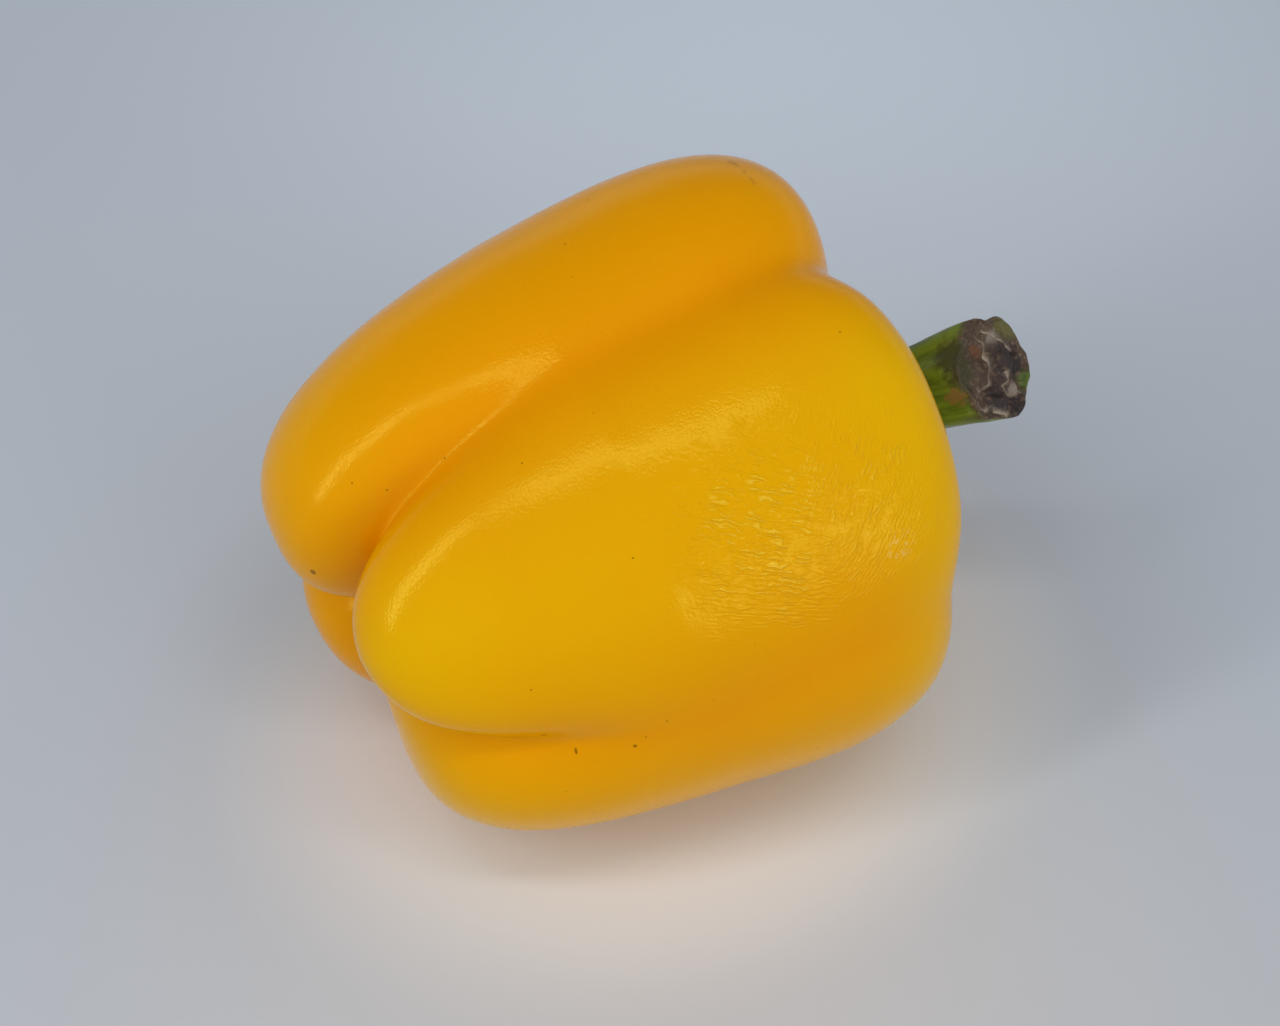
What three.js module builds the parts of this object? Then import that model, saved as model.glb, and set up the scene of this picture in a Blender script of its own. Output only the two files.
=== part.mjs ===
// A yellow bell pepper as picked, lying on its side on two of its four lobes.
// Millimetres and degrees, +Z up. The blossom end points to -X, the stem end to +X,
// and the surface that the pepper lies on is z = 0.
import * as THREE from 'three';
import { mergeVertices } from 'three/addons/utils/BufferGeometryUtils.js';

// The fruit's own axis: x runs along it from the blossom end, y and z lie across it.
// It rises a little towards the stem, because the lobes are thicker there.
const AXIS_PITCH = 6.5;
const AXIS_HEIGHT = 30.0;
const FOOTPRINT_SHIFT = [-53.85, 0.07, 0];

// Each lobe is a blunt finger beside the axis. angle: its place round the axis, from the
// front (0) over the top (90). turn: how far it winds from end to end. middle, back, fore:
// where it is thickest, and its reach to the blossom tip and to the shoulder. offset: how far
// its middle line lies from the axis at tip and shoulder. radius, taper, width: its half
// thickness, its growth towards the shoulder, and its width against its thickness.
// tip, shoulder: how square its ends are (2 is round).
const LOBES = {
  upper_back: {
    angle: 126.5, turn: -2, middle: 51, back: 46, fore: 33,
    offset: [15.5, 25.5], radius: 18.8, taper: -0.03, width: 1.18, tip: 2.5, shoulder: 2.6,
  },
  upper_front: {
    angle: 40.8, turn: -3, middle: 46, back: 38.4, fore: 38,
    offset: [17.8, 17.6], radius: 16.7, taper: 0.13, width: 1.5, tip: 2.2, shoulder: 3.8,
  },
  lower_front: {
    angle: -44, turn: 6.5, middle: 48, back: 37.9, fore: 35,
    offset: [14, 20], radius: 21.5, taper: 0.13, width: 1.22, tip: 3.7, shoulder: 2.8,
  },
  lower_back: {
    angle: 222, turn: 0, middle: 50, back: 43.3, fore: 34,
    offset: [16, 21], radius: 21, taper: 0.07, width: 1.2, tip: 2.4, shoulder: 2.6,
  },
};
// The flesh between the lobes, which closes the fruit at the blossom pit and under the stem.
const CORE = { middle: 45, back: 30, fore: 28, radius: 29, squareness: 2 };
// How softly neighbouring lobes run into each other, from the blossom end to the shoulders.
const BLEND = [0.3, 0.6, 3.2, 3, 0.9];
// The furrow along the crease between two lobes, at the same places: how deep it is, how wide,
// and how round at its bottom.
const CREASE_DEPTH = [1.6, 1.5, 1.8, 1.5, 0.6];
const CREASE_WIDTH = [2.2, 2.2, 4, 4, 2.5];
const CREASE_ROUNDING = [0.1, 0.2, 2, 2, 0.8];
const FRUIT_LENGTH = 85;
// The stem hollow: a bowl with its bottom at bottom, which is radius wide at rise above it.
const HOLLOW = { bottom: 71, radius: 13.5, rise: 10, blend: 1.1 };

const CALYX_RADIUS = 11.6;
const CALYX_TOOTH = 1.0;
const CALYX_TEETH = 6;
const CALYX_THICKNESS = 1.7;
const CALYX_GAP = 0.45;
// The stem's middle line, from the calyx to the cut: it leaves straight and bends to the front.
const STEM_LINE = [[73, 0, 0], [84, 0, 0], [92, -2.5, 2], [99.2, -8, 7]];
const STEM_RADIUS = 5.6;
const STEM_FOOT = 1.6;
const STEM_FLARE = 1.3;
const STEM_RIBS = 6;
const STEM_RIB_DEPTH = 0.4;
// The knife went through the stem at a slant: the cut's outward direction on the fruit's axes.
const CUT_NORMAL = new THREE.Vector3(0.48, -0.62, 0.62).normalize();
const CUT_DISH = 1.2;

const FRUIT_SIDES = 84;
const FRUIT_RINGS = 54;
const STEM_SIDES = 36;

const radians = THREE.MathUtils.degToRad;
const { clamp, lerp, smoothstep } = THREE.MathUtils;

// Zero on a blunt body whose half length and half thickness are both 1.
function bluntness(along, across, squareness) {
  const power = Math.abs(along) ** squareness + across ** squareness;
  return power ** (1 / squareness) - 1;
}

// About the distance from a point to a lobe's skin, negative inside.
function lobeDistance(x, y, z, lobe) {
  const fromMiddle = x - lobe.middle;
  const atTip = fromMiddle < 0;
  const along = fromMiddle / (atTip ? lobe.back : lobe.fore);
  const share = (clamp(fromMiddle, -lobe.back, lobe.fore) + lobe.back) / (lobe.back + lobe.fore);
  const angle = radians(lobe.angle + lobe.turn * (share - 0.5));
  const offset = lerp(lobe.offset[0], lobe.offset[1], share);
  const radius = lobe.radius * (1 + lobe.taper * clamp(along, -1.3, 1.3));
  const outward = -y * Math.cos(angle) + z * Math.sin(angle) - offset;
  const sideways = -(y * Math.sin(angle) + z * Math.cos(angle)) / lobe.width;
  const across = Math.hypot(outward, sideways) / radius;
  return lobe.radius * bluntness(along, across, atTip ? lobe.tip : lobe.shoulder);
}

function coreDistance(x, y, z) {
  const fromMiddle = x - CORE.middle;
  const along = fromMiddle / (fromMiddle < 0 ? CORE.back : CORE.fore);
  return CORE.radius * bluntness(along, Math.hypot(y, z) / CORE.radius, CORE.squareness);
}

// The value at x of a size that is given at even steps from the blossom end to the shoulders.
function atStation(values, x) {
  const place = clamp(x / FRUIT_LENGTH, 0, 1) * (values.length - 1);
  const step = Math.min(Math.floor(place), values.length - 2);
  return lerp(values[step], values[step + 1], place - step);
}

function furrow(lobes, x) {
  const [nearest, next] = [...lobes].sort((a, b) => a - b);
  const rounding = atStation(CREASE_ROUNDING, x);
  const aside = Math.hypot(next - nearest, rounding) - rounding;
  return atStation(CREASE_DEPTH, x) * Math.exp(-aside / atStation(CREASE_WIDTH, x));
}

// The least of several distances, with the sharp edge between them rounded off.
function softLeast(distances, width) {
  const least = Math.min(...distances);
  const total = distances.reduce((sum, distance) => sum + Math.exp((least - distance) / width), 0);
  return least - width * Math.log(total);
}

function fruitDistance(x, y, z) {
  const lobes = Object.values(LOBES).map((lobe) => lobeDistance(x, y, z, lobe));
  const whole = softLeast([...lobes, coreDistance(x, y, z)], atStation(BLEND, x));
  const body = whole + furrow(lobes, x);
  const bowl = (Math.hypot(y, z) / HOLLOW.radius) ** 2 - (x - HOLLOW.bottom) / HOLLOW.rise;
  return -softLeast([-body, bowl * HOLLOW.rise * 0.65], HOLLOW.blend);
}

// How far along a line from inside the fruit its skin lies.
function skinAlong(from, direction, reach) {
  let inside = 0;
  let outside = reach;
  for (let step = 0; step < 30; step += 1) {
    const middle = (inside + outside) / 2;
    const point = direction.clone().multiplyScalar(middle).add(from);
    if (fruitDistance(point.x, point.y, point.z) < 0) {
      inside = middle;
    } else {
      outside = middle;
    }
  }
  return inside;
}

// The direction across the axis at an angle round it.
function across(angle) {
  return new THREE.Vector3(0, -Math.cos(angle), Math.sin(angle));
}

// A closed net of rings round the axis. The first and last ring are points, and
// place(ring, angle) gives each corner.
function ringNet(rings, sides, place) {
  const net = new THREE.SphereGeometry(1, sides, rings);
  const corners = net.attributes.position;
  for (let ring = 0; ring <= rings; ring += 1) {
    for (let side = 0; side <= sides; side += 1) {
      const angle = (-2 * Math.PI * (side % sides)) / sides;
      const corner = place(ring, ring === 0 || ring === rings ? 0 : angle);
      corners.setXYZ(ring * (sides + 1) + side, corner.x, corner.y, corner.z);
    }
  }
  net.deleteAttribute('normal');
  net.deleteAttribute('uv');
  return mergeVertices(net, 1e-4);
}

// From the fruit's own axis to the way it lies.
function laidDown(geometry) {
  geometry.rotateY(-radians(AXIS_PITCH));
  geometry.translate(0, 0, AXIS_HEIGHT);
  return geometry;
}

function fruitGeometry() {
  const heart = new THREE.Vector3(46, 0, 0);
  const net = ringNet(FRUIT_RINGS, FRUIT_SIDES, (ring, angle) => {
    const slant = (Math.PI * ring) / FRUIT_RINGS;
    const direction = across(angle).multiplyScalar(Math.sin(slant));
    direction.x = Math.cos(slant);
    const reach = skinAlong(heart, direction, 60);
    return direction.multiplyScalar(reach).add(heart);
  });
  laidDown(net);
  const corners = net.attributes.position;
  for (let i = 0; i < corners.count; i += 1) {
    corners.setZ(i, Math.max(corners.getZ(i), 0));
  }
  return net;
}

// The skin's x in the stem hollow, at a distance from the axis.
function hollowFloor(distance, angle) {
  const from = across(angle).multiplyScalar(distance);
  from.x = HOLLOW.bottom - 8;
  return from.x + skinAlong(from, new THREE.Vector3(1, 0, 0), 30);
}

function ribs(angle) {
  return Math.cos(STEM_RIBS * angle);
}

function calyxRim(angle) {
  return CALYX_RADIUS + CALYX_TOOTH * Math.cos(CALYX_TEETH * angle);
}

// A ring of the calyx, at a share of its reach, this high above the skin under it.
function calyxRing(share, height) {
  return (angle) => {
    const distance = share * calyxRim(angle);
    const point = across(angle).multiplyScalar(distance);
    point.x = hollowFloor(distance, angle) + height;
    return point;
  };
}

// A ring of the stem: along runs from 0 at its foot to 1 at the cut, size is its share of
// the full radius, and sunk is how deep it lies below the cut.
function stemRing(along, size = 1, sunk = 0) {
  const line = new THREE.CubicBezierCurve3(...STEM_LINE.map((p) => new THREE.Vector3(...p)));
  const centre = line.getPoint(along);
  const tangent = line.getTangent(along);
  const turn = new THREE.Quaternion().setFromUnitVectors(new THREE.Vector3(1, 0, 0), tangent);
  const radius = STEM_RADIUS + STEM_FOOT * (1 - along) ** 6 + STEM_FLARE * smoothstep(along, 0.55, 1);
  return (angle) => {
    const reach = size * (radius + STEM_RIB_DEPTH * ribs(angle));
    const offset = across(angle).multiplyScalar(reach).applyQuaternion(turn);
    const slant = -offset.dot(CUT_NORMAL) / tangent.dot(CUT_NORMAL);
    const slide = slant * smoothstep(along, 0.4, 1) - sunk;
    return offset.addScaledVector(tangent, slide).add(centre);
  };
}

function stemGeometry() {
  const rings = [
    stemRing(1, 0, CUT_DISH),
    stemRing(1, 0.4, CUT_DISH),
    stemRing(1, 0.75, CUT_DISH * 0.7),
    stemRing(1, 0.93, 0),
    stemRing(0.985, 1, 0),
    ...[0.9, 0.8, 0.68, 0.56, 0.44, 0.32, 0.22, 0.14].map((along) => stemRing(along)),
    calyxRing(0.64, CALYX_THICKNESS * 1.5),
    calyxRing(0.76, CALYX_THICKNESS * 1.15),
    calyxRing(0.88, CALYX_THICKNESS),
    calyxRing(0.97, CALYX_THICKNESS * 0.9),
    calyxRing(1, CALYX_THICKNESS * 0.6),
    calyxRing(0.98, CALYX_GAP),
    calyxRing(0.7, CALYX_GAP),
    calyxRing(0.4, CALYX_GAP),
    calyxRing(0, CALYX_GAP),
  ];
  return laidDown(ringNet(rings.length - 1, STEM_SIDES, (ring, angle) => rings[ring](angle)));
}

function piece(name, geometry, colour, roughness) {
  const material = new THREE.MeshStandardMaterial({ color: colour, roughness, metalness: 0 });
  const mesh = new THREE.Mesh(geometry, material);
  mesh.name = name;
  return mesh;
}

const pepper = new THREE.Group();
pepper.position.set(...FOOTPRINT_SHIFT);
pepper.add(piece('fruit', fruitGeometry(), 0xe3a600, 0.28));
pepper.add(piece('stem', stemGeometry(), 0x5f8a2a, 0.6));

export default pepper;
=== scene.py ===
# A yellow bell pepper lying on a pale surface, in metres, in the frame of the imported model.
import math

import bmesh
import bpy
import numpy as np
from mathutils import Matrix, Quaternion, Vector, noise


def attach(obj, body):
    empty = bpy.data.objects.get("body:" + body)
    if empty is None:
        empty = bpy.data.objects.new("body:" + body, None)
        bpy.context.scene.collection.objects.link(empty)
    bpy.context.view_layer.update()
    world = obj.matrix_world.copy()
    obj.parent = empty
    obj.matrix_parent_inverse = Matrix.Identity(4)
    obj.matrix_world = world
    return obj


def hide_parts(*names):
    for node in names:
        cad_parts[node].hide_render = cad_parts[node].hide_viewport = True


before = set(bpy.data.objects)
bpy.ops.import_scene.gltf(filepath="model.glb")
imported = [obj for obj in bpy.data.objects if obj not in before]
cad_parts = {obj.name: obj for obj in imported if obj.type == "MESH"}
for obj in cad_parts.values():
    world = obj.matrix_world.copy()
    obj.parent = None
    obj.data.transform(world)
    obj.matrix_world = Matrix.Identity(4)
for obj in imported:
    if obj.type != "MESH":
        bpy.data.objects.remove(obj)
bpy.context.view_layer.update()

# The fruit's own axis: x runs along it from the blossom end, and rises a little to the stem.
AXIS_PITCH = math.radians(6.5)
AXIS_HEIGHT = 0.030
FOOTPRINT_SHIFT = (-0.05385, 0.00007)
LOBES = {
    "upper_back": dict(
        angle=126.5, turn=-2, middle=0.051, back=0.046, fore=0.033, offset=(0.0155, 0.0255),
        radius=0.0188, taper=-0.03, width=1.18, tip=2.5, shoulder=2.6),
    "upper_front": dict(
        angle=40.8, turn=-3, middle=0.046, back=0.0384, fore=0.038, offset=(0.0178, 0.0176),
        radius=0.0167, taper=0.13, width=1.5, tip=2.2, shoulder=3.8),
    "lower_front": dict(
        angle=-44, turn=6.5, middle=0.048, back=0.0379, fore=0.035, offset=(0.014, 0.020),
        radius=0.0215, taper=0.13, width=1.22, tip=3.7, shoulder=2.8),
    "lower_back": dict(
        angle=222, turn=0, middle=0.050, back=0.0433, fore=0.034, offset=(0.016, 0.021),
        radius=0.021, taper=0.07, width=1.2, tip=2.4, shoulder=2.6),
}
CORE = dict(middle=0.045, back=0.030, fore=0.028, radius=0.029, squareness=2)
BLEND = (0.0003, 0.0006, 0.0032, 0.0030, 0.0009)
CREASE_DEPTH = (0.0016, 0.0015, 0.0018, 0.0015, 0.0006)
CREASE_WIDTH = (0.0022, 0.0022, 0.0040, 0.0040, 0.0025)
CREASE_ROUNDING = (0.0001, 0.0002, 0.0020, 0.0020, 0.0008)
CREASE_SHADE_REACH = 0.0035
FRUIT_LENGTH = 0.085
TAPER_END = 1.3
HOLLOW = dict(bottom=0.071, radius=0.0135, rise=0.010, weight=0.65, blend=0.0011)
HEART = (0.046, 0, 0)
FRUIT_REACH = 0.060
FRUIT_MIDDLE = Vector((0, 0, 0.035))
FRUIT_SIDES = 340
FRUIT_RINGS = 250
# The uneven swell of a grown skin: spacing, height and draw of its humps.
SKIN_HUMPS = ((0.017, 0.00028, 1), (0.007, 0.00007, 2))

CALYX_RADIUS = 0.0116
CALYX_TOOTH = 0.001
CALYX_TEETH = 6
CALYX_THICKNESS = 0.0017
CALYX_GAP = 0.00025
# Rings of the calyx: share of its radius, and on the top share of its thickness.
CALYX_TOP = ((0.62, 1.6), (0.7, 1.35), (0.8, 1.1), (0.9, 1), (0.97, 0.9), (1, 0.6))
CALYX_UNDERSIDE = (0.98, 0.8, 0.5, 0)
BELOW_HOLLOW = 0.008
HOLLOW_REACH = 0.030

STEM_LINE = ((0.073, 0, 0), (0.084, 0, 0), (0.092, -0.0025, 0.002), (0.0992, -0.008, 0.007))
STEM_LENGTH = 0.028
STEM_RADIUS = 0.0056
STEM_FOOT = 0.0016
STEM_FLARE = 0.0013
FLARE_START = 0.55
STEM_RIBS = 6
STEM_RIB_DEPTH = 0.0004
STEM_SIDES = 200
STEM_RINGS = 72
CUT_RINGS = 60
CUT_NORMAL = Vector((0.48, -0.62, 0.62)).normalized()
CUT_DISH = 0.0012
SLANT_START = 0.4
# The rings from the middle of the cut, down the stem and under the calyx: kind, place and height.
STEM_BANDS = (
    [("cut", share, 0) for share in np.linspace(0, 0.97, CUT_RINGS)]
    + [("stem", along, 0) for along in np.linspace(0.995, 0.14, STEM_RINGS)]
    + [("calyx", share, height) for share, height in CALYX_TOP]
    + [("calyx", share, 0) for share in CALYX_UNDERSIDE]
)

# The photograph's view: where it looks, from how far, and how wide.
VIEW_TARGET = Vector((-0.0034, 0.00075, 0.0334))
VIEW_AZIMUTH = math.radians(-28)
VIEW_ELEVATION = math.radians(49)
VIEW_ROLL = math.radians(2)
VIEW_DISTANCE = 0.276
VIEW_WIDTH = math.radians(34)
PHOTO_SIZE = (1280, 1026)
SENSOR = 36

# Marks on the skin, as pixels of the photograph.
SPECKS = (
    (565, 244), (588, 200), (445, 458), (522, 463), (352, 483), (387, 490), (633, 558), (531, 690),
    (646, 737), (667, 721), (792, 758), (818, 748), (840, 332),
)
# Short scratches: where, and half their size along, across and up.
SCRATCHES = (
    ((576, 751), (0.0002, 0.0005, 0.0006)),
    ((544, 735), (0.0006, 0.0004, 0.0002)),
    ((635, 746), (0.0003, 0.0004, 0.0003)),
    ((313, 572), (0.0004, 0.0006, 0.0006)),
)
SPECK_EDGE = (0.00019, 0.00004)
SCUFF = (900, 545)
SHOULDER_MARKS = ((717, 160), (742, 168), (764, 184), (811, 214))
# The wrinkled patch on the upper front lobe: its middle, half sizes and turn.
WRINKLED = ((0.004, -0.028, 0.0575), (0.021, 0.016, 0.0145), (0, 0.15, 0))

LEMON = (0.78, 0.46, 0.0, 1)
AMBER = (0.76, 0.375, 0.0, 1)
ORANGE = (0.86, 0.365, 0.0, 1)
# Painted shade for the creases between the lobes.
CREASE_SHADE_ORANGE = (0.78, 0.26, 0.0, 1)
# Painted highlight for the crests of the wrinkles.
FOLD_CREST_HIGHLIGHT = (0.92, 0.64, 0.06, 1)
RUBBED = (0.85, 0.62, 0.25, 1)
RUSSET = (0.42, 0.16, 0.01, 1)
FLECK_BROWN = (0.16, 0.045, 0.0, 1)
# How far light of each colour wanders in the flesh, and the yellow of its reflections.
FLESH_DEPTH = (1.0, 0.45, 0.08)
WAXY_YELLOW = (4.0, 4.0, 0.6, 1)

# The dried cut of the stem, as pixels of the photograph: sunken places with their radius and
# depth, and curled ridges.
CUT_PITS = (((999, 360), 0.0024, 0.0018), ((996, 403), 0.0019, 0.0013), ((974, 368), 0.0017, 0.0006))
CUT_RIDGES = (
    ((976, 338), (983, 346), (985, 358), (989, 371), (987, 386), (979, 393), (968, 401)),
    ((984, 331), (991, 336), (999, 344), (1009, 351)),
    ((973, 405), (984, 409), (994, 411), (1006, 416)),
    ((999, 373), (1006, 380), (1001, 388), (1008, 394), (1017, 393)),
)
# Spacing, height and draw of the humps on the cut and on the stem's sides.
CUT_HUMPS = ((0.0021, 0.0006, 7), (0.0009, 0.0003, 8))
SIDE_HUMPS = ((0.0022, 0.00012, 9),)
ALONG_SIDES = np.array([0.3, 1, 1])
RIDGE_HEIGHT = 0.0005
RIDGE_WIDTH = 0.00020
RIDGE_WANDER = 0.0005
RIDGE_WANDER_SPACING = 0.0013
RIDGE_DRAWS = (4, 5, 6)

STEM_GREEN = (0.155, 0.225, 0.014, 1)
DARK_STREAK = (0.070, 0.115, 0.006, 1)
BRONZE = (0.10, 0.085, 0.012, 1)
BARK = (0.070, 0.042, 0.024, 1)
STRAW = (0.20, 0.13, 0.075, 1)
CURLED_EDGE = (0.46, 0.38, 0.28, 1)
# Dark dried pith, and painted shade in the hollows of the cut.
DARK_PITH_AND_HOLLOW_SHADE = (0.018, 0.010, 0.011, 1)
# Painted shade over the sunken lower part of the cut.
PIT_SHADE = (0.045, 0.022, 0.016, 1)
RUST = (0.14, 0.05, 0.016, 1)
TAN = (0.24, 0.125, 0.03, 1)
ASH = (0.26, 0.21, 0.17, 1)
OLIVE = (0.12, 0.11, 0.03, 1)
# Dried olive-brown, darkened further as painted shade beside the cut.
DEEP_OLIVE_AND_SHADE = (0.045, 0.040, 0.008, 1)
FRESH_GREEN = (0.09, 0.15, 0.018, 1)
# Stains on the cut and just below it, with painted shade in its hollows and at its left edge: pixel, radius
# and colour.
CUT_STAINS = (
    ((1004, 326), 0.0030, OLIVE), ((950, 356), 0.0034, DEEP_OLIVE_AND_SHADE), ((962, 375), 0.0030, DEEP_OLIVE_AND_SHADE),
    ((990, 338), 0.0016, ASH), ((1003, 348), 0.0012, ASH), ((976, 352), 0.0014, RUST),
    ((956, 397), 0.0017, TAN), ((1021, 347), 0.0014, TAN), ((1026, 380), 0.0019, FRESH_GREEN),
    ((998, 392), 0.0042, PIT_SHADE), ((1000, 357), 0.0036, DARK_PITH_AND_HOLLOW_SHADE), ((1012, 366), 0.0022, DARK_PITH_AND_HOLLOW_SHADE),
    ((994, 402), 0.0026, DARK_PITH_AND_HOLLOW_SHADE), ((1018, 408), 0.0024, DARK_PITH_AND_HOLLOW_SHADE), ((1011, 390), 0.0012, ASH),
)


def view_axes():
    """The photograph's eye point, and the directions to its right, to its top and towards it."""
    flat = math.cos(VIEW_ELEVATION)
    back = Vector((math.sin(VIEW_AZIMUTH) * flat, -math.cos(VIEW_AZIMUTH) * flat, math.sin(VIEW_ELEVATION)))
    right = Vector((math.cos(VIEW_AZIMUTH), math.sin(VIEW_AZIMUTH), 0))
    right.rotate(Quaternion(back, VIEW_ROLL))
    return VIEW_TARGET + back * VIEW_DISTANCE, right, back.cross(right), back


class Socket:
    """A shader value that takes part in sums, so that node maths reads as plain arithmetic."""

    def __init__(self, shader, output):
        self.shader = shader
        self.output = output

    def __add__(self, other):
        return self.shader.maths("ADD", self, other)

    def __sub__(self, other):
        return self.shader.maths("SUBTRACT", self, other)

    def __rsub__(self, other):
        return self.shader.maths("SUBTRACT", other, self)

    def __mul__(self, other):
        return self.shader.maths("MULTIPLY", self, other)

    def __pow__(self, other):
        return self.shader.maths("POWER", self, other)

    __radd__ = __add__
    __rmul__ = __mul__

    def rise(self, low, high):
        """0 below low, 1 above high, and smooth between; falls instead where low is the larger."""
        settings = {"interpolation_type": "SMOOTHSTEP"}
        sockets = {"Value": self, "From Min": low, "From Max": high}
        return self.shader.node("ShaderNodeMapRange", settings, sockets)


class Shader:
    """The nodes of a material, or of the world, under construction."""

    def __init__(self, owner, coordinates="Object"):
        self.owner = owner
        owner.use_nodes = True
        self.tree = owner.node_tree
        self.tree.nodes.clear()
        self.place = self.node("ShaderNodeTexCoord", {}, {}, coordinates)

    def node(self, kind, settings, sockets, output=0):
        node = self.tree.nodes.new(kind)
        for key, value in settings.items():
            setattr(node, key, value)
        for key, value in sockets.items():
            if isinstance(value, Socket):
                self.tree.links.new(value.output, node.inputs[key])
            else:
                node.inputs[key].default_value = value
        return Socket(self, node.outputs[output])

    def maths(self, operation, first, second):
        return self.node("ShaderNodeMath", {"operation": operation}, {0: first, 1: second})

    def mix(self, share, first, second):
        """From the first colour to the second by share."""
        settings = {"data_type": "RGBA"}
        return self.node("ShaderNodeMix", settings, {0: share, 6: first, 7: second}, 2)

    def stretched(self, scale, turn=(0, 0, 0)):
        """The place on the piece, turned and then stretched, for a pattern with a direction."""
        turned = self.node("ShaderNodeMapping", {}, {"Vector": self.place, "Rotation": turn})
        return self.node("ShaderNodeMapping", {}, {"Vector": turned, "Scale": scale})

    def clouds(self, per_metre, detail=2.0, place=None):
        sockets = {"Vector": place or self.place, "Scale": per_metre, "Detail": detail}
        return self.node("ShaderNodeTexNoise", {}, sockets)

    def folds(self, scale, place):
        """Wavy parallel folds across z."""
        settings = {"wave_type": "BANDS", "bands_direction": "Z"}
        sockets = {
            "Vector": place, "Scale": scale, "Distortion": 10.0, "Detail": 4.0, "Detail Scale": 1.8}
        return self.node("ShaderNodeTexWave", settings, sockets, "Fac")

    def away_from(self, point):
        settings = {"operation": "DISTANCE"}
        return self.node("ShaderNodeVectorMath", settings, {0: self.place, 1: point}, "Value")

    def inside(self, centre, radii, turn=(0, 0, 0), ragged=0.0):
        """How far out a place lies in an ellipsoid: 0 in its middle, 1 at its edge."""
        settings = {"vector_type": "TEXTURE"}
        sockets = {"Vector": self.place, "Location": centre, "Rotation": turn, "Scale": radii}
        place = self.node("ShaderNodeMapping", settings, sockets)
        far = self.node("ShaderNodeVectorMath", {"operation": "LENGTH"}, {0: place}, "Value")
        return far + self.clouds(320, 3) * ragged - ragged / 2 if ragged else far

    def axes(self):
        parts = self.node("ShaderNodeSeparateXYZ", {}, {"Vector": self.place})
        return [Socket(self, output) for output in parts.output.node.outputs]

    def attribute(self, name, output="Fac"):
        return self.node("ShaderNodeAttribute", {"attribute_name": name}, {}, output)

    def bump(self, height, distance, strength=1.0, normal=None):
        sockets = {"Height": height, "Distance": distance, "Strength": strength}
        if normal:
            sockets["Normal"] = normal
        return self.node("ShaderNodeBump", {}, sockets)

    def finish(self, **sockets):
        names = {key: key.replace("_", " ").title() for key in sockets}
        names["ior"] = "IOR"
        names["specular_ior_level"] = "Specular IOR Level"
        named = {names[key]: value for key, value in sockets.items()}
        surface = self.node("ShaderNodeBsdfPrincipled", {"subsurface_method": "RANDOM_WALK"}, named)
        self.node_out("ShaderNodeOutputMaterial", surface)
        return self.owner

    def node_out(self, kind, surface):
        output = self.tree.nodes.new(kind)
        self.tree.links.new(surface.output, output.inputs["Surface"])


def bluntness(along, across, squareness):
    return (np.abs(along) ** squareness + across ** squareness) ** (1 / squareness) - 1


def lobe_distance(x, y, z, lobe):
    """About how far points on the fruit's axes lie from a lobe's skin, negative inside."""
    from_middle = x - lobe["middle"]
    along = from_middle / np.where(from_middle < 0, lobe["back"], lobe["fore"])
    squareness = np.where(from_middle < 0, lobe["tip"], lobe["shoulder"])
    share = np.clip((from_middle + lobe["back"]) / (lobe["back"] + lobe["fore"]), 0, 1)
    angle = np.radians(lobe["angle"] + lobe["turn"] * (share - 0.5))
    offset = lobe["offset"][0] + (lobe["offset"][1] - lobe["offset"][0]) * share
    radius = lobe["radius"] * (1 + lobe["taper"] * np.clip(along, -TAPER_END, TAPER_END))
    outward = -y * np.cos(angle) + z * np.sin(angle) - offset
    sideways = -(y * np.sin(angle) + z * np.cos(angle)) / lobe["width"]
    across = np.hypot(outward, sideways) / radius
    return lobe["radius"] * bluntness(along, across, squareness)


def core_distance(x, y, z):
    from_middle = x - CORE["middle"]
    along = from_middle / np.where(from_middle < 0, CORE["back"], CORE["fore"])
    return CORE["radius"] * bluntness(along, np.hypot(y, z) / CORE["radius"], CORE["squareness"])


def soft_least(distances, width):
    """The least of several distances, with the sharp edge between them rounded off."""
    least = np.minimum.reduce(distances)
    total = sum(np.exp((least - distance) / width) for distance in distances)
    return least - width * np.log(total)


def at_station(values, x):
    """The value at x of a size given at even steps from the blossom end to the shoulders."""
    return np.interp(x, np.linspace(0, FRUIT_LENGTH, len(values)), values)


def furrow(lobes, x):
    """How deep the crease between two lobes is cut in."""
    nearest, following = np.sort(lobes, axis=0)[:2]
    rounding = at_station(CREASE_ROUNDING, x)
    aside = np.hypot(following - nearest, rounding) - rounding
    return at_station(CREASE_DEPTH, x) * np.exp(-aside / at_station(CREASE_WIDTH, x))


def fruit_distance(x, y, z):
    lobes = [lobe_distance(x, y, z, lobe) for lobe in LOBES.values()]
    whole = soft_least([*lobes, core_distance(x, y, z)], at_station(BLEND, x))
    body = whole + furrow(lobes, x)
    bowl = (np.hypot(y, z) / HOLLOW["radius"]) ** 2 - (x - HOLLOW["bottom"]) / HOLLOW["rise"]
    return -soft_least([-body, bowl * HOLLOW["rise"] * HOLLOW["weight"]], HOLLOW["blend"])


def skin_along(start, direction, reach, steps=20):
    """How far along lines from inside the fruit its skin lies."""
    inside = np.zeros(len(start))
    outside = np.full(len(start), reach)
    for _ in range(steps):
        middle = (inside + outside) / 2
        within = fruit_distance(*(start + direction * middle[:, None]).T) < 0
        inside = np.where(within, middle, inside)
        outside = np.where(within, outside, middle)
    return inside


def laid_down(points):
    """From the fruit's own axis to the way it lies."""
    x, y, z = points.T
    cosine = math.cos(AXIS_PITCH)
    sine = math.sin(AXIS_PITCH)
    east = x * cosine - z * sine + FOOTPRINT_SHIFT[0]
    up = x * sine + z * cosine + AXIS_HEIGHT
    return np.stack([east, y + FOOTPRINT_SHIFT[1], up], 1)


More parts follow.
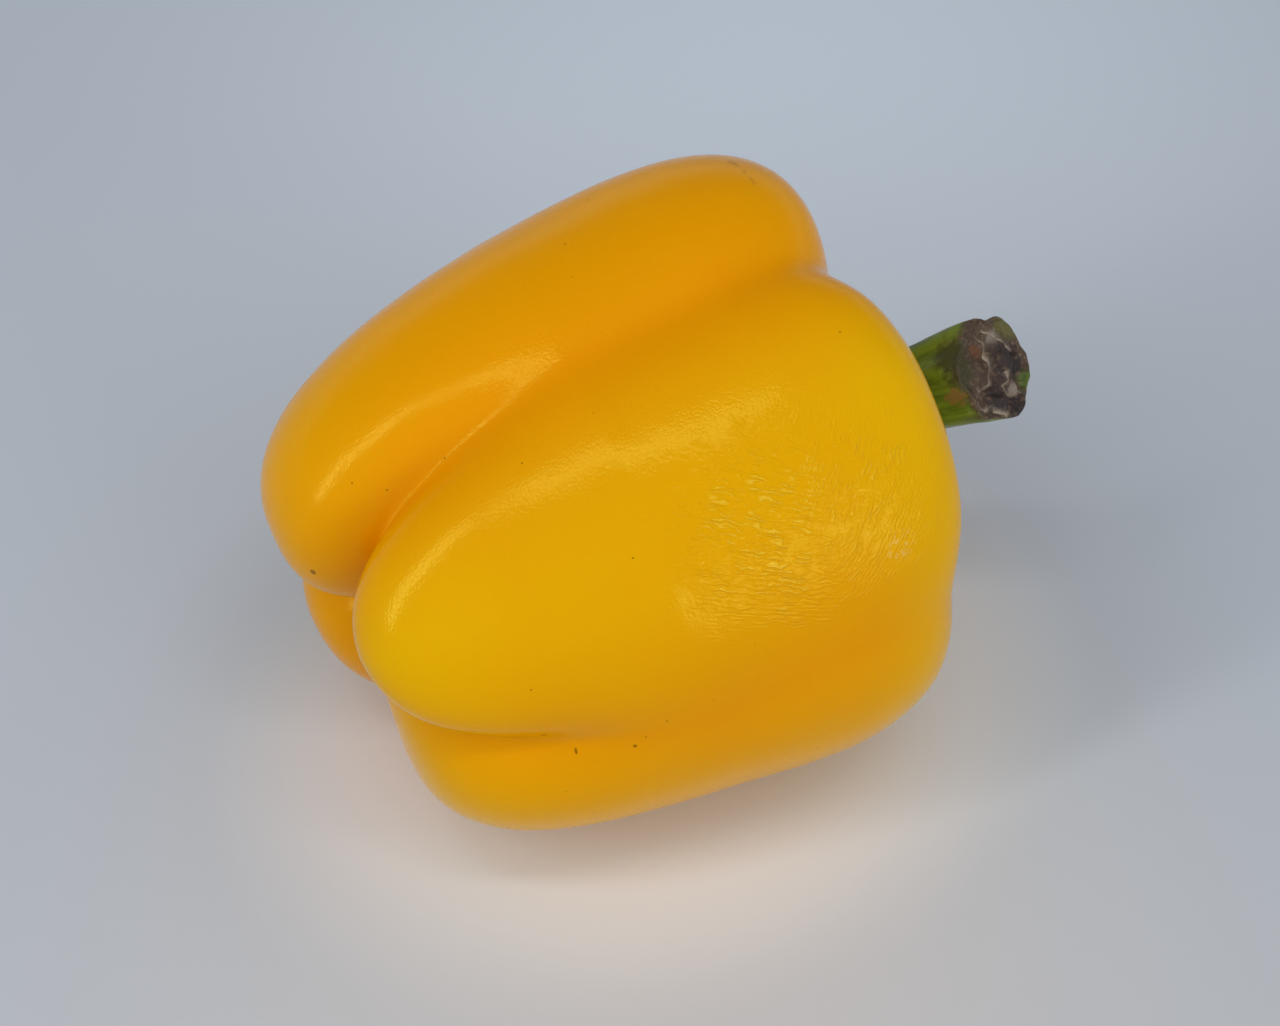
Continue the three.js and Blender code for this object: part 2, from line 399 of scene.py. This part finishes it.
def lobe_closeness(points):
    """1 in a crease between two lobes, falling to 0 a few millimetres away from it: where shade is painted
    into the skin.
    """
    x, y, z = points.T
    parts = np.sort([lobe_distance(x, y, z, lobe) for lobe in LOBES.values()], axis=0)
    return np.exp(-(parts[1] - parts[0]) / CREASE_SHADE_REACH)


def cloud(points, spacing, draw):
    """Smooth noise from -1 to 1 at each point."""
    shift = Vector((draw * 3.7, draw * 1.9, draw * 5.3))
    return np.array([noise.noise(Vector(point) / spacing + shift) for point in points])


def swell(points, humps):
    """The height at each point of humps that are given by spacing, height and draw."""
    return sum(cloud(points, spacing, draw) * height for spacing, height, draw in humps)


def set_points(mesh, points):
    mesh.vertices.foreach_set("co", points.astype(np.float32).ravel())
    mesh.update()


def set_attribute(mesh, name, values):
    layer = mesh.attributes.new(name, "FLOAT", "POINT")
    layer.data.foreach_set("value", values.astype(np.float32))


def set_place_attribute(mesh, name, places):
    layer = mesh.attributes.new(name, "FLOAT_VECTOR", "POINT")
    layer.data.foreach_set("vector", places.astype(np.float32).ravel())


def get_points(mesh):
    points = np.empty(len(mesh.vertices) * 3, np.float32)
    mesh.vertices.foreach_get("co", points)
    return points.reshape(-1, 3).astype(float)


def get_normals(mesh):
    normals = np.empty(len(mesh.vertices) * 3, np.float32)
    mesh.vertices.foreach_get("normal", normals)
    return normals.reshape(-1, 3).astype(float)


def mesh_from(bm, name):
    mesh = bpy.data.meshes.new(name)
    bm.to_mesh(mesh)
    bm.free()
    mesh.polygons.foreach_set("use_smooth", [True] * len(mesh.polygons))
    piece = bpy.data.objects.new(name, mesh)
    bpy.context.scene.collection.objects.link(piece)
    return piece


def make_fruit():
    bm = bmesh.new()
    bmesh.ops.create_uvsphere(bm, u_segments=FRUIT_SIDES, v_segments=FRUIT_RINGS, radius=1)
    bmesh.ops.rotate(bm, verts=bm.verts, matrix=Matrix.Rotation(math.pi / 2, 3, "Y"))
    piece = mesh_from(bm, "pepper_body")
    directions = get_points(piece.data)
    directions /= np.linalg.norm(directions, axis=1, keepdims=True)
    heart = np.broadcast_to(np.array(HEART), directions.shape)
    own = heart + directions * skin_along(heart, directions, FRUIT_REACH)[:, None]
    points = laid_down(own)
    set_points(piece.data, points)
    points += get_normals(piece.data) * swell(points, SKIN_HUMPS)[:, None]
    points[:, 2] = np.maximum(points[:, 2], 0)
    set_points(piece.data, points)
    set_attribute(piece.data, "crease", lobe_closeness(own))
    bpy.context.view_layer.update()
    piece.data.materials.append(skin_material(piece))
    return piece


def across(angle):
    """The direction away from the fruit's axis at an angle."""
    return Vector((0, -math.cos(angle), math.sin(angle)))


def hollow_floor(distance, angle):
    """How far along the fruit the skin of its stem hollow lies."""
    direction = across(angle)
    start = np.array([direction * distance]) + np.array([[HOLLOW["bottom"] - BELOW_HOLLOW, 0, 0]])
    return start[0, 0] + skin_along(start, np.array([[1.0, 0, 0]]), HOLLOW_REACH)[0]


def stem_line(along):
    """A point of the stem's middle line and its direction there."""
    a, b, c, d = (Vector(point) for point in STEM_LINE)
    rest = 1 - along
    point = a * rest ** 3 + b * 3 * rest ** 2 * along + c * 3 * rest * along ** 2 + d * along ** 3
    way = (b - a) * rest ** 2 + (c - b) * 2 * rest * along + (d - c) * along ** 2
    return point, way.normalized()


def smooth_step(value, low, high):
    share = min(max((value - low) / (high - low), 0), 1)
    return share * share * (3 - 2 * share)


def stem_point(along, angle, size=1.0, sunk=0.0):
    """A point on the stem's side, or on its slanted cut where size is below 1."""
    centre, way = stem_line(along)
    turn = Vector((1, 0, 0)).rotation_difference(way)
    radius = STEM_RADIUS + STEM_FOOT * (1 - along) ** 6 + STEM_FLARE * smooth_step(along, FLARE_START, 1)
    rib = math.cos(STEM_RIBS * angle)
    offset = across(angle) * (size * (radius + STEM_RIB_DEPTH * rib))
    offset.rotate(turn)
    slant = -offset.dot(CUT_NORMAL) / way.dot(CUT_NORMAL)
    return centre + offset + way * (slant * smooth_step(along, SLANT_START, 1) - sunk)


def calyx_point(share, angle, height):
    distance = share * (CALYX_RADIUS + CALYX_TOOTH * math.cos(CALYX_TEETH * angle))
    point = across(angle) * distance
    point.x = hollow_floor(distance, angle) + height
    return point


def ring_point(kind, share, height, angle):
    """A point of one of the stem's rings."""
    if kind == "cut":
        return stem_point(1, angle, share, CUT_DISH * (1 - share ** 4))
    if kind == "stem":
        return stem_point(share, angle)
    return calyx_point(share, angle, CALYX_THICKNESS * height if height else CALYX_GAP)


def dryness(kind, share):
    """How dried a ring of the stem is: wholly on the cut, and partly just below it."""
    if kind == "cut":
        return 1.0
    if kind == "stem":
        return smooth_step(share, 0.9, 1.0) * 0.7
    return 0.0


def grain_place(kind, share, angle):
    """Where a point would lie on a straight stem, so that streaks run along it."""
    along = share if kind == "stem" else 1
    side = across(angle) * STEM_RADIUS
    return along * STEM_LENGTH, side.y, side.z


def make_stem():
    bm = bmesh.new()
    bmesh.ops.create_uvsphere(bm, u_segments=STEM_SIDES, v_segments=len(STEM_BANDS) - 1, radius=1)
    dry = []
    grain = []
    for vert in bm.verts:
        slant = math.acos(min(max(vert.co.z, -1), 1))
        angle = -math.atan2(vert.co.y, vert.co.x)
        kind, share, height = STEM_BANDS[round(slant / math.pi * (len(STEM_BANDS) - 1))]
        vert.co = ring_point(kind, share, height, angle)
        dry.append(dryness(kind, share))
        grain.append(grain_place(kind, share, angle))
    bmesh.ops.recalc_face_normals(bm, faces=bm.faces)
    piece = mesh_from(bm, "pepper_stem")
    set_points(piece.data, laid_down(get_points(piece.data)))
    bpy.context.view_layer.update()
    piece.data.materials.append(stem_material(piece))
    shrivel(piece, np.array(dry))
    set_attribute(piece.data, "dry", np.array(dry))
    set_place_attribute(piece.data, "grain", np.array(grain))
    return piece


def line_distance(points, line):
    """How far points lie from a line of straight stretches."""
    least = np.full(len(points), np.inf)
    for start, end in zip(line, line[1:]):
        run = end - start
        share = np.clip((points - start) @ run / (run @ run), 0, 1)
        least = np.minimum(least, np.linalg.norm(points - start - share[:, None] * run, axis=1))
    return least


def shrivel(piece, dry):
    """Sinks, crinkles and ridges the cut as it dried, and dents the stem's sides a little."""
    points = get_points(piece.data)
    wander = np.stack([cloud(points, RIDGE_WANDER_SPACING, draw) for draw in RIDGE_DRAWS], 1)
    wandering = points + wander * RIDGE_WANDER
    ridge = np.zeros(len(points))
    for line in CUT_RIDGES:
        far = line_distance(wandering, [np.array(seen_at(piece, pixel)) for pixel in line])
        ridge = np.maximum(ridge, np.exp(-(far / RIDGE_WIDTH) ** 2))
    height = ridge * RIDGE_HEIGHT
    for pixel, radius, depth in CUT_PITS:
        far = np.linalg.norm(points - np.array(seen_at(piece, pixel)), axis=1)
        height -= np.exp(-(far / radius) ** 2) * depth
    height = (height + swell(points, CUT_HUMPS)) * dry ** 2 + swell(points * ALONG_SIDES, SIDE_HUMPS)
    set_attribute(piece.data, "ridge", ridge * dry)
    set_points(piece.data, points + get_normals(piece.data) * height[:, None])


def seen_at(piece, pixel):
    """The place on a piece that shows at a pixel of the photograph."""
    eye, right, up, back = view_axes()
    spread = 2 * math.tan(VIEW_WIDTH / 2) / PHOTO_SIZE[0]
    aside = (pixel[0] - PHOTO_SIZE[0] / 2) * spread
    above = (PHOTO_SIZE[1] / 2 - pixel[1]) * spread
    return piece.ray_cast(eye, right * aside + up * above - back)[1]


def skin_colour(s, crease):
    """Lemon at the ends of the lobes, amber between, orange towards the back, and painted shade of deep
    orange in the creases.
    """
    along, side, _ = s.axes()
    near_tip = along.rise(-0.028, -0.046)
    near_shoulder = along.rise(0.006, 0.024)
    front = side.rise(0.0, -0.018)
    patches = s.clouds(70, 3).rise(0.3, 0.7)
    crease_shade = crease ** 0.5
    colour = s.mix(front * 0.15 + patches * 0.2, AMBER, LEMON)
    colour = s.mix(near_tip * 0.9 * front + near_shoulder * 0.6 * front, colour, LEMON)
    colour = s.mix((1 - front) * (1 - near_tip * 0.6) * 0.8, colour, ORANGE)
    # Painted shade: deep orange laid into the creases between the lobes.
    return s.mix(crease_shade * (1 - near_shoulder * 0.6) * 0.7, colour, CREASE_SHADE_ORANGE)


def wrinkles(s):
    """Fine folds of drying skin: where they are, and how high, lying in front and steep behind."""
    where = s.inside(*WRINKLED, 1.0).rise(1.1, 0.4)
    lying = s.folds(560, s.stretched((0.4, 0.6, 1), (0, -0.34, 0)))
    rising = s.folds(520, s.stretched((0.6, 0.6, 1), (0, 0.75, 0)))
    steep = s.axes()[0].rise(0.000, 0.010)
    broken = s.clouds(500, 2).rise(0.3, 0.6)
    return where, (lying * (1 - steep) + rising * steep * 0.8) * where * broken


def specks(s, fruit):
    """1 on the small brown flecks and scratches."""
    cells = s.node("ShaderNodeTexVoronoi", {}, {"Vector": s.place, "Scale": 230.0}, "Distance")
    flecks = cells.rise(0.035, 0.015) * 0.6
    for pixel in SPECKS:
        flecks = flecks + s.away_from(seen_at(fruit, pixel)).rise(*SPECK_EDGE)
    for pixel, size in SCRATCHES:
        flecks = flecks + s.inside(seen_at(fruit, pixel), size).rise(1.1, 0.5)
    return flecks.rise(0, 1)


def scuffs(s, fruit):
    """1 on the rubbed brownish marks along the shoulder of the upper back lobe."""
    rubs = 0.0
    for pixel in SHOULDER_MARKS:
        rubs = s.away_from(seen_at(fruit, pixel)).rise(0.0032, 0.0008) + rubs
    return rubs * s.clouds(900, 3, s.stretched((1, 0.4, 1))).rise(0.56, 0.72)


def skin_material(fruit):
    """Waxy, faintly pitted skin with its wrinkles, rubbed places and flecks, with painted shade in its
    creases and painted highlights on the crests of its folds.
    """
    s = Shader(bpy.data.materials.new("pepper_skin"))
    crease = s.attribute("crease")
    colour = skin_colour(s, crease)
    rub = s.away_from(seen_at(fruit, SCUFF)).rise(0.0028, 0.0006) * s.clouds(1400, 3).rise(0.45, 0.62)
    where, folds = wrinkles(s)
    # Painted highlight: pale yellow on the crests of the folds.
    colour = s.mix(folds.rise(0.5, 0.95) * 0.35, colour, FOLD_CREST_HIGHLIGHT)
    colour = s.mix(rub * 0.3, colour, RUBBED)
    colour = s.mix(scuffs(s, fruit) * 0.5, colour, RUSSET)
    colour = s.mix(specks(s, fruit) * 0.75, colour, FLECK_BROWN)
    normal = s.bump(s.clouds(700, 2), 0.00005, 0.5)
    normal = s.bump(folds + where * s.clouds(1500, 3) * 0.5, 0.00010, 1, normal)
    normal = s.bump(s.clouds(3000, 1), 0.00003, 1, normal)
    roughness = 0.12 + s.clouds(110, 2) * 0.06 + rub * 0.2
    return s.finish(
        base_color=colour, roughness=roughness, normal=normal, subsurface_weight=0.1,
        subsurface_radius=FLESH_DEPTH, subsurface_scale=0.003, ior=1.4,
        specular_tint=WAXY_YELLOW, specular_ior_level=0.1)


def stem_material(stem):
    """Streaked green, drying to brown towards the cut, which is stained, darkened with painted shade in its
    hollows and beside it, and has pale curled ridges.
    """
    s = Shader(bpy.data.materials.new("pepper_stem_green"))
    dry = s.attribute("dry")
    grain = s.attribute("grain", "Vector")
    long_grain = s.node("ShaderNodeMapping", {}, {"Vector": grain, "Scale": (0.12, 1, 1)})
    streaks = s.clouds(900, 4, long_grain)
    blotches = s.clouds(420, 3, grain)
    flakes = s.clouds(1500, 4)
    colour = s.mix(streaks.rise(0.4, 0.7), STEM_GREEN, DARK_STREAK)
    colour = s.mix(blotches.rise(0.5, 0.7) * 0.5, colour, BRONZE)
    browned = (dry + flakes * 0.5 - 0.25).rise(0.45, 0.75)
    colour = s.mix(browned, colour, BARK)
    colour = s.mix(browned * flakes.rise(0.5, 0.7) * 0.6, colour, STRAW)
    for pixel, radius, stain in CUT_STAINS:
        far = s.away_from(seen_at(stem, pixel)) + flakes * 0.0030 - 0.0015
        colour = s.mix(far.rise(radius, radius * 0.4) * 0.85, colour, stain)
    colour = s.mix(s.attribute("ridge") * 0.85, colour, CURLED_EDGE)
    normal = s.bump(streaks, 0.00025, 0.7)
    normal = s.bump(flakes * dry, 0.0004, 0.8, normal)
    roughness = 0.38 + dry * 0.25
    return s.finish(base_color=colour, roughness=roughness, normal=normal, specular_ior_level=0.4)


CARD_FAR = (0.52, 0.58, 0.66, 1)
CARD_NEAR = (0.54, 0.585, 0.645, 1)
# Painted light: a lighter, cooler patch behind the fruit.
CARD_LIGHT_BEYOND = (0.66, 0.74, 0.84, 1)
# Painted light: a neutral pool in front of the fruit, and lighter card below it.
CARD_LIGHT_POOL = (0.62, 0.615, 0.625, 1)
CARD_UNDER_LIGHT = (0.80, 0.79, 0.79, 1)
FLOOR_HALF = 3


def floor_material():
    """Pale card: cool towards the back and the sides, with painted light: a lighter patch behind the fruit,
    and lighter, neutral card in front of it and below it.
    """
    s = Shader(bpy.data.materials.new("pale_card"))
    eye = view_axes()[0]
    near = s.away_from((eye.x, eye.y, 0)).rise(0.36, 0.10)
    # Painted light: a lighter, neutral pool in front of the fruit.
    light_pool = s.inside((-0.035, -0.070, 0), (0.13, 0.10, 1)).rise(1, 0)
    # Painted light: lighter card under the fruit, lightening its shadow.
    under = s.inside((-0.002, -0.004, 0), (0.060, 0.047, 1)).rise(1.15, 0.6)
    # Painted light: a lighter, cooler patch of card behind the fruit.
    light_beyond = s.inside((0.09, 0.12, 0), (0.17, 0.13, 1)).rise(1, 0)
    colour = s.mix(near, CARD_FAR, CARD_NEAR)
    colour = s.mix(light_beyond * 0.8, colour, CARD_LIGHT_BEYOND)
    colour = s.mix(light_pool * 0.8, colour, CARD_LIGHT_POOL)
    colour = s.mix(under * 0.9, colour, CARD_UNDER_LIGHT)
    return s.finish(base_color=colour, roughness=0.7, specular_ior_level=0.2)


def make_floor():
    bm = bmesh.new()
    bmesh.ops.create_grid(bm, x_segments=2, y_segments=2, size=FLOOR_HALF)
    floor = mesh_from(bm, "surface")
    floor.data.materials.append(floor_material())


WARM_WHITE = (1, 0.98, 0.95)
WHITE = (1, 1, 1)
# A narrow strip from low on the left to overhead and on to the right, and a small light in front.
LIGHTS = (
    dict(name="strip_left", way=(-0.824, 0, 0.566), along=(0.485, 0.12, 0.70), distance=0.8,
         size=(0.78, 0.09), power=1.65, colour=WARM_WHITE),
    dict(name="strip_top", way=(-0.108, -0.199, 0.974), along=(0.64, -0.37, 0), distance=0.8,
         size=(0.64, 0.08), power=1.1, colour=WARM_WHITE),
    dict(name="front", way=(0.30, -0.94, 0.16), along=(1, 0.3, 0), distance=1.0,
         size=(0.46, 0.30), power=2.1, colour=WHITE),
)


def make_light(name, way, along, distance, size, power, colour):
    """A soft light that faces the fruit from a direction, its long side turned as along says."""
    data = bpy.data.lights.new(name, "AREA")
    data.shape = "RECTANGLE"
    data.size, data.size_y = size
    data.energy = power
    data.color = colour
    light = bpy.data.objects.new(name, data)
    way = Vector(way).normalized()
    narrow = way.cross(Vector(along)).normalized()
    turned = Matrix((narrow.cross(way), narrow, way)).transposed()
    light.matrix_world = Matrix.Translation(FRUIT_MIDDLE + way * distance) @ turned.to_4x4()
    bpy.context.scene.collection.objects.link(light)


ROOM_GREY = (0.62, 0.63, 0.65, 1)
ROOM_SHADE = (0.18, 0.19, 0.20, 1)
LIT_SIDE = (-0.25, -0.9, 0.1)


def make_world():
    """An even room, darker above the back."""
    s = Shader(bpy.data.worlds.new("room"), "Generated")
    settings = {"operation": "DOT_PRODUCT"}
    facing = s.node("ShaderNodeVectorMath", settings, {0: s.place, 1: LIT_SIDE}, "Value")
    height = s.axes()[2]
    dark = facing.rise(0.3, -0.5) * height.rise(0.02, 0.35)
    colour = s.mix(dark, ROOM_GREY, ROOM_SHADE)
    s.node_out("ShaderNodeOutputWorld", s.node("ShaderNodeBackground", {}, {"Color": colour}))
    bpy.context.scene.world = s.owner


def make_camera():
    data = bpy.data.cameras.new("camera")
    data.sensor_width = SENSOR
    data.lens = SENSOR / 2 / math.tan(VIEW_WIDTH / 2)
    data.clip_start = 0.01
    camera = bpy.data.objects.new("camera", data)
    eye, right, up, back = view_axes()
    turned = Matrix((right, up, back)).transposed()
    camera.matrix_world = Matrix.Translation(eye) @ turned.to_4x4()
    bpy.context.scene.collection.objects.link(camera)
    bpy.context.scene.camera = camera


make_camera()
for light in LIGHTS:
    make_light(**light)
make_world()
make_floor()

fruit = make_fruit()
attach(fruit, "root")
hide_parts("fruit")

stem = make_stem()
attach(stem, "root")
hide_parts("stem")

bpy.context.scene.view_settings.view_transform = "Standard"
